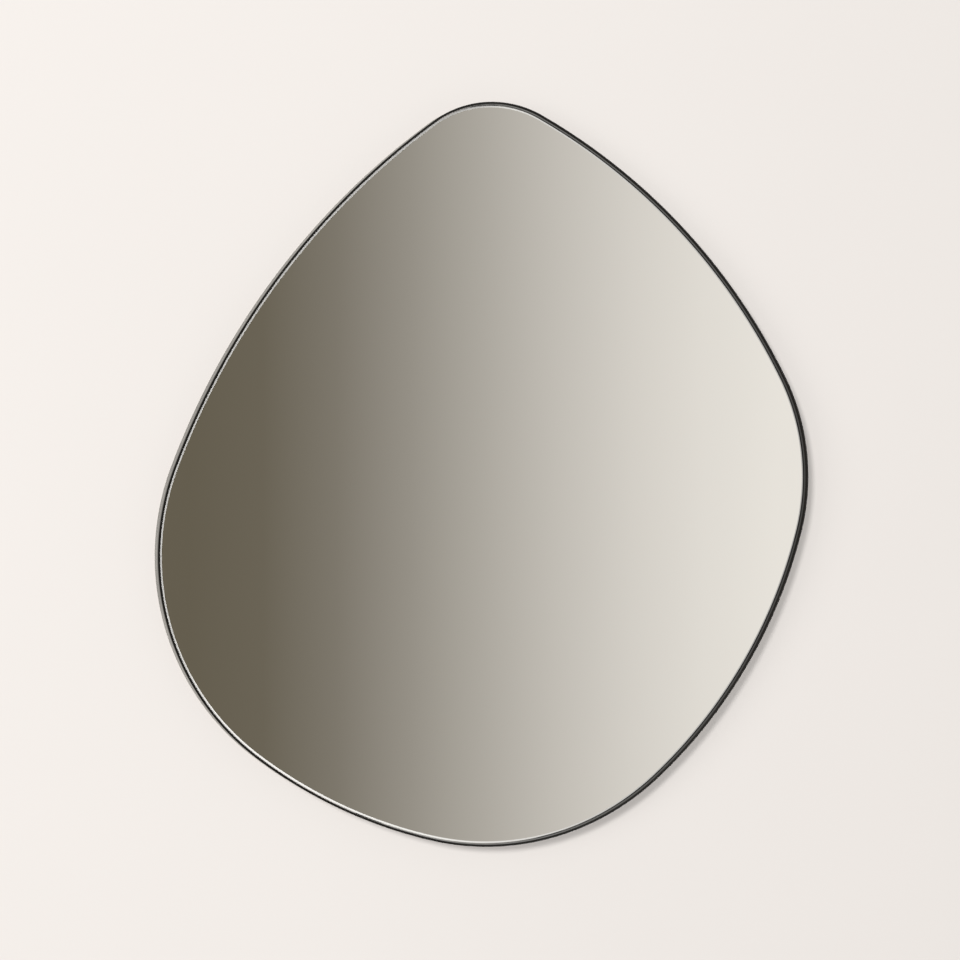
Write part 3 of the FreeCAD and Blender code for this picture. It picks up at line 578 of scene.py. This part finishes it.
class MIRROR_OT_back(bpy.types.Operator):
    """Finish the safety film, the tape, the backing board and the lugs"""

    bl_idname = "mirror.back"
    bl_label = "Back"

    def execute(self, context):
        back = context.scene.mirror_back
        board = board_finish(back.board)
        film = soft_finish(
            "safety_film", (0.20, 0.24, 0.27), (0.26, 0.30, 0.33), scale=120, smooth=0.4,
            rough=0.5, depth=0.00002,
        )
        tape = soft_finish(
            "mirror_tape", (0.70, 0.70, 0.68), (0.80, 0.80, 0.78), scale=300, smooth=0.6,
            rough=0.8, depth=0.00004,
        )
        steel = metal_finish(
            "lug_steel", back.steel, smooth=0.28, rough=0.42, grain=90, depth=0.00002,
            stretch=(1, 1, 6),
        )
        finish_node("backing_board", board)
        finish_node("safety_film", film)
        for number in range(TAPE_STRIPS):
            finish_node(f"tape_strip_{number + 1}", tape)
        for name in ARC_NAMES:
            finish_node(f"lug_{name}", steel)
        return {"FINISHED"}


class MIRROR_OT_welds(bpy.types.Operator):
    """Build the two weld beads that hold each lug to the rim"""

    bl_idname = "mirror.welds"
    bl_label = "Lug Welds"

    def execute(self, context):
        scene = context.scene
        wall = scene.mirror_rim.wall
        bm = bmesh.new()
        for name, turn in LUG_TURNS.items():
            spot, towards = on_arc(scene.mirror_outline, name, turn, wall)
            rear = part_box(f"lug_{name}")[1].y
            tangent = Vector((-math.sin(towards), 0, math.cos(towards)))
            for side in (-1, 1):
                made = bmesh.ops.create_uvsphere(bm, u_segments=16, v_segments=10, radius=1)
                verts = made["verts"]
                bmesh.ops.scale(bm, vec=WELD_BEAD, verts=verts)
                turn_verts(bm, -towards, "Y", verts)
                place = spot + tangent * WELD_ASIDE * side
                place.y = rear
                bmesh.ops.translate(bm, vec=place, verts=verts)
        metal = metal_finish(
            "weld_metal", (0.30, 0.28, 0.27), smooth=0.3, rough=0.5, grain=700, depth=0.00008
        )
        new_piece(bm, "lug_welds", [metal])
        return {"FINISHED"}


def cross_screw(bm, back, reach):
    """A domed head with a cross recess, on a pointed core: seat at the origin, axis along +Z."""
    head, rise, core = back.screw_head / 2, back.screw_rise, back.screw_core / 2
    profile = (
        (0, -reach), (core, back.screw_tip - reach), (core, 0), (head, 0), (head, 0.25 * rise),
        (0.95 * head, 0.5 * rise), (0.83 * head, 0.75 * rise), (0.66 * head, 0.93 * rise),
    )
    points = [bm.verts.new((x, 0, z)) for x, z in profile]
    edges = [bm.edges.new(pair) for pair in zip(points, points[1:])]
    full_spin(bm, points + edges, (0, 0, 1), 24)
    rim = [edge for edge in bm.edges if edge.is_boundary]
    far, near = back.recess / 2, 0.115 * back.recess
    depth, taper = 0.6 * rise, 0.6
    quarter = ((far, -near), (far, near), (near, near))
    cross = []
    for turn in range(4):
        spin = Matrix.Rotation(turn * math.pi / 2, 2)
        cross += [bm.verts.new((*(spin @ Vector(point)), rise)) for point in quarter]
    slot = bm.faces.new(cross)
    bmesh.ops.subdivide_edges(bm, edges=slot.edges[:], cuts=1, use_grid_fill=False)
    bmesh.ops.bridge_loops(bm, edges=rim + slot.edges[:])
    sunk = bmesh.ops.extrude_face_region(bm, geom=[slot])
    floor = only(sunk["geom"], bmesh.types.BMVert)
    bmesh.ops.delete(bm, geom=[slot], context="FACES_ONLY")
    bmesh.ops.scale(bm, vec=(taper, taper, 1), verts=floor)
    bmesh.ops.translate(bm, vec=(0, 0, -depth), verts=floor)
    bmesh.ops.recalc_face_normals(bm, faces=bm.faces[:])


def screw_set(back, name, places, material):
    """One screw at every place, long enough for its bite in the board, each recess its own way."""
    bm = bmesh.new()
    cross_screw(bm, back, places[0].y + BOARD_REAR + back.screw_bite)
    turn_verts(bm, -math.pi / 2, "X", bm.verts[:])
    first_turn, next_turn = 0.3, math.radians(67)
    first = bm.verts[:]
    screw = first + bm.edges[:] + bm.faces[:]
    for number, place in enumerate(places):
        made = bmesh.ops.duplicate(bm, geom=screw)["geom"]
        verts = only(made, bmesh.types.BMVert)
        turn_verts(bm, number * next_turn + first_turn, "Y", verts)
        bmesh.ops.translate(bm, vec=place, verts=verts)
    bmesh.ops.delete(bm, geom=first, context="VERTS")
    piece = new_piece(bm, f"{name}_set", [material], replaces=[name])
    crease(piece, 32)


class MIRROR_OT_screws(bpy.types.Operator):
    """Build the cross-recess screws of the lugs, the hangers and the bumpers"""

    bl_idname = "mirror.screws"
    bl_label = "Screws"

    def execute(self, context):
        scene = context.scene
        outline, back, hanger = scene.mirror_outline, scene.mirror_back, scene.mirror_hanger
        zinc = metal_finish(
            "zinc_plate", back.zinc, smooth=0.22, rough=0.36, grain=220, depth=0.00002
        )
        lugs, bumpers = [], []
        for name, turn in LUG_TURNS.items():
            spot = on_arc(outline, name, turn, scene.mirror_rim.wall + back.lug_hole)[0]
            spot.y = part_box(f"lug_{name}")[1].y
            lugs.append(spot)
        for name, turn in BUMPER_TURNS.items():
            spot = on_arc(outline, name, turn, back.bumper_inset)[0]
            spot.y = back.bumper_floor - BOARD_REAR
            bumpers.append(spot)
        hangers = []
        for side in ("left", "right"):
            low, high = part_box(f"hanger_strap_{side}")
            for up in (hanger.lower_screw, hanger.upper_screw):
                seat = Vector(((low.x + high.x) / 2, low.y + hanger.sheet, low.z + up))
                hangers.append(seat)
        screw_set(back, "lug_screws", lugs, zinc)
        screw_set(back, "hanger_screws", hangers, zinc)
        screw_set(back, "bumper_screws", bumpers, zinc)
        return {"FINISHED"}


class MIRROR_OT_straps(bpy.types.Operator):
    """Build the two straps of sheet rolled round the rings' straight sides"""

    bl_idname = "mirror.straps"
    bl_label = "Hanger Straps"

    def execute(self, context):
        hanger, tint = context.scene.mirror_hanger, context.scene.mirror_back.nickel
        nickel = metal_finish(
            "nickel_plate", tint, smooth=0.12, rough=0.22, grain=150, depth=0.00001
        )
        roll = hanger.wire / 2 + hanger.clearance + hanger.sheet / 2
        curl = hanger.bend + hanger.sheet / 2
        curl_y = 1.5 * hanger.sheet + curl - roll
        curl_z = -math.sqrt((roll + curl) ** 2 - curl_y**2)
        leave = math.atan2(-curl_z, curl_y)
        for side in ("left", "right"):
            low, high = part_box(f"hanger_strap_{side}")
            half = (high.x - low.x) / 2
            axis_z = high.z - roll - hanger.sheet / 2
            bm = bmesh.new()
            ends = [bm.verts.new((x, -roll, low.z - axis_z)) for x in (-half, half)]
            knee = [bm.verts.new((x, -roll, 0)) for x in (half, -half)]
            bm.faces.new(ends + knee)
            round_section(bm, ends, hanger.strap_corner, 8)
            top = open_loops(bm, lambda point: abs(point.z) < NEAR)
            made = bmesh.ops.spin(
                bm, geom=top + list(top[0].verts), cent=(0, 0, 0), axis=(-1, 0, 0),
                angle=math.pi + leave, steps=26, use_duplicate=False,
            )
            made = bmesh.ops.spin(
                bm, geom=made["geom_last"], cent=(0, curl_y, curl_z), axis=(1, 0, 0),
                angle=leave, steps=8, use_duplicate=False,
            )
            last = only(made["geom_last"], bmesh.types.BMEdge)
            tail = bmesh.ops.extrude_edge_only(bm, edges=last)["geom"]
            verts = only(tail, bmesh.types.BMVert)
            bmesh.ops.translate(bm, vec=(0, 0, -hanger.tail - curl_z), verts=verts)
            bmesh.ops.remove_doubles(bm, verts=bm.verts[:], dist=NEAR / 2)
            hinge = Vector(((low.x + high.x) / 2, low.y + roll + hanger.sheet / 2, axis_z))
            bmesh.ops.translate(bm, vec=hinge, verts=bm.verts[:])
            piece = new_piece(
                bm, f"strap_{side}", [nickel], replaces=[f"hanger_strap_{side}"]
            )
            thick = piece.modifiers.new("Sheet", "SOLIDIFY")
            thick.thickness = hanger.sheet
            thick.offset = 0
            thick.use_even_offset = True
            edges = piece.modifiers.new("Edges", "BEVEL")
            edges.width = hanger.strap_edge
            edges.segments = 2
            edges.limit_method = "ANGLE"
            edges.angle_limit = math.radians(50)
            edges.harden_normals = True
        return {"FINISHED"}


class MIRROR_OT_rings(bpy.types.Operator):
    """Build the two D-rings of round wire that swing in the straps"""

    bl_idname = "mirror.rings"
    bl_label = "Hanger Rings"

    def execute(self, context):
        hanger, tint = context.scene.mirror_hanger, context.scene.mirror_back.nickel
        nickel = metal_finish(
            "nickel_wire", tint, smooth=0.10, rough=0.18, grain=90, depth=0.00001
        )
        half, bend = hanger.ring_width / 2, hanger.ring_corner
        shoulder = hanger.ring_reach - half
        lean = math.asin(hanger.sheet / hanger.ring_reach)
        for side in ("left", "right"):
            low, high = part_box(f"hanger_ring_{side}")
            strap_low, strap_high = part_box(f"hanger_strap_{side}")
            bm = bmesh.new()
            bmesh.ops.create_circle(bm, cap_ends=False, radius=hanger.wire / 2, segments=28)
            turn_verts(bm, math.pi / 2, "Y", bm.verts[:])
            moving = bm.verts[:] + bm.edges[:]
            runs = (
                ((half - bend, 0, 0), None, 0),
                (None, (half - bend, 0, bend), math.pi / 2),
                ((0, 0, shoulder - bend), None, 0),
                (None, (0, 0, shoulder), math.pi),
                ((0, 0, bend - shoulder), None, 0),
                (None, (bend - half, 0, bend), math.pi / 2),
                ((half - bend, 0, 0), None, 0),
            )
            for shift, centre, turn in runs:
                if shift:
                    edges = only(moving, bmesh.types.BMEdge)
                    made = bmesh.ops.extrude_edge_only(bm, edges=edges)["geom"]
                    verts, edges = only(made, bmesh.types.BMVert), only(made, bmesh.types.BMEdge)
                    bmesh.ops.translate(bm, vec=shift, verts=verts)
                    moving = verts + [edge for edge in edges if set(edge.verts) <= set(verts)]
                else:
                    made = bmesh.ops.spin(
                        bm, geom=moving, cent=centre, axis=FORWARDS, angle=turn,
                        steps=math.ceil(turn / WIRE_STEP), use_duplicate=False,
                    )
                    moving = made["geom_last"]
            bmesh.ops.remove_doubles(bm, verts=bm.verts[:], dist=NEAR)
            turn_verts(bm, lean, "X", bm.verts[:])
            roll = hanger.wire / 2 + hanger.clearance + hanger.sheet
            hinge = Vector(((low.x + high.x) / 2, strap_low.y + roll, strap_high.z - roll))
            bmesh.ops.translate(bm, vec=hinge, verts=bm.verts[:])
            new_piece(
                bm, f"ring_{side}", [nickel], body=f"ring_{side}",
                replaces=[f"hanger_ring_{side}"],
            )
        return {"FINISHED"}


class MIRROR_OT_bumpers(bpy.types.Operator):
    """Build the four rubber feet that keep the back off the wall"""

    bl_idname = "mirror.bumpers"
    bl_label = "Wall Bumpers"

    def execute(self, context):
        back = context.scene.mirror_back
        rubber = soft_finish(
            "rubber", back.rubber, shade(back.rubber, 1.9), scale=160, smooth=0.55, rough=0.75,
            depth=0.00006,
        )
        hole, bore, floor = back.screw_hole / 2, back.bumper_bore / 2, back.bumper_floor
        base, top = back.bumper_base / 2, back.bumper_top / 2
        for name in BUMPER_TURNS:
            node = f"wall_bumper_{name}"
            low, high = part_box(node)
            rise = high.y - low.y
            bm = bmesh.new()
            profile = (
                (hole, 0), (base, 0), (top, rise), (bore, rise), (bore, floor), (hole, floor),
            )
            points = [bm.verts.new((x, y, 0)) for x, y in profile]
            bm.faces.new(points)
            round_section(bm, [points[2]], back.bumper_round, 6)
            corners = (Vector((base, 0, 0)), Vector((bore, rise, 0)))
            sharp = [
                vert for vert in bm.verts if any((vert.co - at).length < NEAR for at in corners)
            ]
            round_section(bm, sharp, back.bumper_break, 3)
            full_spin(bm, outline_only(bm), (0, 1, 0), 48)
            middle = Vector(((low.x + high.x) / 2, low.y, (low.z + high.z) / 2))
            bmesh.ops.translate(bm, vec=middle, verts=bm.verts[:])
            piece = new_piece(bm, f"bumper_{name}", [rubber], replaces=[node])
            crease(piece, 38)
        return {"FINISHED"}


# The room as gloss shows it: bearing from straight ahead, towards the right, and its light.
ROOM_TONES = (
    (-180, (0.76, 0.72, 0.66)),
    (-150, (0.70, 0.665, 0.61)),
    (-125, (0.24, 0.23, 0.21)),
    (-95, (0.42, 0.40, 0.37)),
    (-65, (0.42, 0.40, 0.36)),
    (-30, (0.10, 0.09, 0.075)),
    (8.8, (0.14, 0.123, 0.09)),
    (20.5, (0.87, 0.85, 0.82)),
    (75, (0.84, 0.82, 0.79)),
    (105, (0.80, 0.78, 0.74)),
    (130, (0.28, 0.265, 0.24)),
    (155, (0.66, 0.63, 0.58)),
    (180, (0.76, 0.72, 0.66)),
)


class MIRROR_OT_studio(bpy.types.Operator):
    """Build the plain wall and floor, the soft light and the camera"""

    bl_idname = "mirror.studio"
    bl_label = "Studio"

    def execute(self, context):
        studio = context.scene.mirror_studio
        self.stage_surfaces(studio)
        self.room_light(context.scene)
        self.lamps(studio)
        self.camera(context.scene, studio)
        return {"FINISHED"}

    def stage_surfaces(self, studio):
        """The wall that the bumpers stand on, and a round floor that sweeps up into a backdrop."""
        plain = stage_finish("studio_paint", studio.wall)
        wall = bmesh.new()
        half = 7.0
        bmesh.ops.create_grid(wall, x_segments=1, y_segments=1, size=half)
        turn_verts(wall, math.pi / 2, "X", wall.verts[:])
        bmesh.ops.translate(wall, vec=(0, 0, half + studio.floor), verts=wall.verts[:])
        self.stage_piece(wall, "wall", plain)
        cove = bmesh.new()
        reach, sweep, height = 6.0, 1.6, 7.0
        profile = ((0, 0), (reach - sweep, 0), (reach, 0), (reach, sweep), (reach, height))
        points = [cove.verts.new((x, 0, z + studio.floor)) for x, z in profile]
        for pair in zip(points, points[1:]):
            cove.edges.new(pair)
        round_section(cove, [points[2]], 0.98 * sweep, 12)
        full_spin(cove, cove.verts[:] + cove.edges[:], (0, 0, 1), 96)
        bmesh.ops.recalc_face_normals(cove, faces=cove.faces[:])
        bmesh.ops.reverse_faces(cove, faces=cove.faces[:])
        self.stage_piece(cove, "studio_cove", plain)

    def stage_piece(self, bm, name, material):
        """A stage surface that only the camera sees, so that it keeps no light from the back."""
        mesh = bpy.data.meshes.new(name)
        for face in bm.faces:
            face.smooth = True
        bm.to_mesh(mesh)
        bm.free()
        mesh.materials.append(material)
        surface = bpy.data.objects.new(name, mesh)
        bpy.context.scene.collection.objects.link(surface)
        surface.visible_diffuse = surface.visible_glossy = surface.visible_shadow = False
        surface.visible_transmission = False

    def room_light(self, scene):
        """Soft light for every surface, and for their gloss a room to reflect."""
        world = bpy.data.worlds.new("soft_room")
        world.use_nodes = True
        world.cycles.sampling_method = "NONE"
        scene.world = world
        tree = world.node_tree
        where = tree.nodes.new("ShaderNodeTexCoord")
        axes = tree.nodes.new("ShaderNodeSeparateXYZ")
        tree.links.new(where.outputs["Generated"], axes.inputs["Vector"])
        soft = tree.nodes["Background"]
        room = tree.nodes.new("ShaderNodeBackground")
        tree.links.new(self.soft_tones(tree, axes), soft.inputs["Color"])
        tree.links.new(self.room_tones(tree, axes), room.inputs["Color"])
        rays = tree.nodes.new("ShaderNodeLightPath")
        choice = tree.nodes.new("ShaderNodeMixShader")
        tree.links.new(rays.outputs["Is Glossy Ray"], choice.inputs[0])
        tree.links.new(soft.outputs["Background"], choice.inputs[1])
        tree.links.new(room.outputs["Background"], choice.inputs[2])
        tree.links.new(choice.outputs["Shader"], tree.nodes["World Output"].inputs["Surface"])

    def soft_tones(self, tree, axes):
        """Pale light that is faint from the front, where the lamps are, and full from behind."""
        share = spread(tree, axes.outputs["Y"], 0, 1, -0.2, 0.5)
        return mixed(tree, share, (0.18, 0.18, 0.18), (0.82, 0.805, 0.78))

    def room_tones(self, tree, axes):
        """The tones of ROOM_TONES round the room, under a bright ceiling."""
        front = tree.nodes.new("ShaderNodeMath")
        front.operation = "MULTIPLY"
        front.inputs[1].default_value = -1
        tree.links.new(axes.outputs["Y"], front.inputs[0])
        bearing = tree.nodes.new("ShaderNodeMath")
        bearing.operation = "ARCTAN2"
        tree.links.new(axes.outputs["X"], bearing.inputs[0])
        tree.links.new(front.outputs["Value"], bearing.inputs[1])
        ramp = tree.nodes.new("ShaderNodeValToRGB")
        ramp.color_ramp.interpolation = "EASE"
        while len(ramp.color_ramp.elements) < len(ROOM_TONES):
            ramp.color_ramp.elements.new(0.5)
        for element, (degrees, tone) in zip(ramp.color_ramp.elements, ROOM_TONES):
            element.position = (degrees + 180) / 360
            element.color = (*tone, 1)
        share = spread(tree, bearing.outputs["Value"], 0, 1, -math.pi, math.pi)
        tree.links.new(share, ramp.inputs["Fac"])
        ceiling = spread(tree, axes.outputs["Z"], 0, 1, 0.3, 0.75)
        return mixed(tree, ceiling, ramp.outputs["Color"], (0.80, 0.79, 0.76))

    def lamp(self, kind, energy, aside, above, distance=3.0, size=None):
        """A lamp aimed at the mirror, so many degrees aside to the right and above."""
        light = bpy.data.lights.new(f"{kind.lower()}_light", kind)
        light.energy = energy
        if size is not None:
            light.size = size
        lamp = bpy.data.objects.new(light.name, light)
        around, up = math.radians(aside), math.radians(above)
        level = math.cos(up)
        back = Vector((math.sin(around) * level, -math.cos(around) * level, math.sin(up)))
        lamp.location = back * distance
        lamp.rotation_euler = (-back).to_track_quat("-Z", "Y").to_euler()
        lamp.visible_glossy = lamp.visible_camera = False
        bpy.context.scene.collection.objects.link(lamp)
        return light

    def lamps(self, studio):
        """Two lights that throw the rim's soft shadow, a fill without shadow and a rear light."""
        self.lamp("AREA", studio.key, aside=-28, above=13, distance=8.0, size=1.4)
        self.lamp("AREA", studio.side, aside=-55, above=5, distance=6.5, size=3.2)
        fill = self.lamp("SUN", studio.fill, aside=-20, above=-8)
        fill.use_shadow = False
        rear = self.lamp("SUN", studio.rear, aside=150, above=35)
        rear.angle = math.radians(12)

    def camera(self, scene, studio):
        """The photograph's viewing direction, level and from the left."""
        lens = bpy.data.cameras.new("camera")
        lens.lens = studio.focal
        lens.sensor_width = 36
        seen = bpy.data.objects.new("camera", lens)
        aim = Vector((-11.7 * MM, -24 * MM, -5.4 * MM))
        back = Vector((math.sin(studio.azimuth), -math.cos(studio.azimuth), 0))
        seen.location = aim + back * studio.distance
        seen.rotation_euler = (-back).to_track_quat("-Z", "Y").to_euler()
        scene.collection.objects.link(seen)
        scene.camera = seen
        scene.view_settings.view_transform = "Standard"


class MIRROR_PT_panel(bpy.types.Panel):
    """Sidebar panel with every piece's button and the sizes and colours behind them"""

    bl_idname = "MIRROR_PT_panel"
    bl_label = "Irregular Wall Mirror"
    bl_space_type = "VIEW_3D"
    bl_region_type = "UI"
    bl_category = "Mirror"

    def draw(self, context):
        for operator in OPERATORS:
            self.layout.operator(operator.bl_idname)
        for name, group in GROUPS.items():
            box = self.layout.box()
            box.label(text=name.replace("_", " ").title())
            settings = getattr(context.scene, name)
            for size in group.__annotations__:
                box.prop(settings, size)


OPERATORS = (
    MIRROR_OT_rim,
    MIRROR_OT_glass,
    MIRROR_OT_back,
    MIRROR_OT_welds,
    MIRROR_OT_screws,
    MIRROR_OT_straps,
    MIRROR_OT_rings,
    MIRROR_OT_bumpers,
    MIRROR_OT_studio,
)
GROUPS = {
    "mirror_outline": MirrorOutline,
    "mirror_rim": MirrorRim,
    "mirror_glass": MirrorGlass,
    "mirror_back": MirrorBack,
    "mirror_hanger": MirrorHanger,
    "mirror_studio": MirrorStudio,
}


def register():
    for item in (*GROUPS.values(), *OPERATORS, MIRROR_PT_panel):
        bpy.utils.register_class(item)
    for name, group in GROUPS.items():
        setattr(bpy.types.Scene, name, PointerProperty(type=group))


def unregister():
    for name in GROUPS:
        delattr(bpy.types.Scene, name)
    for item in reversed((*GROUPS.values(), *OPERATORS, MIRROR_PT_panel)):
        bpy.utils.unregister_class(item)


def main():
    register()
    for operator in OPERATORS:
        group, name = operator.bl_idname.split(".")
        getattr(getattr(bpy.ops, group), name)()


if __name__ == "__main__":
    main()
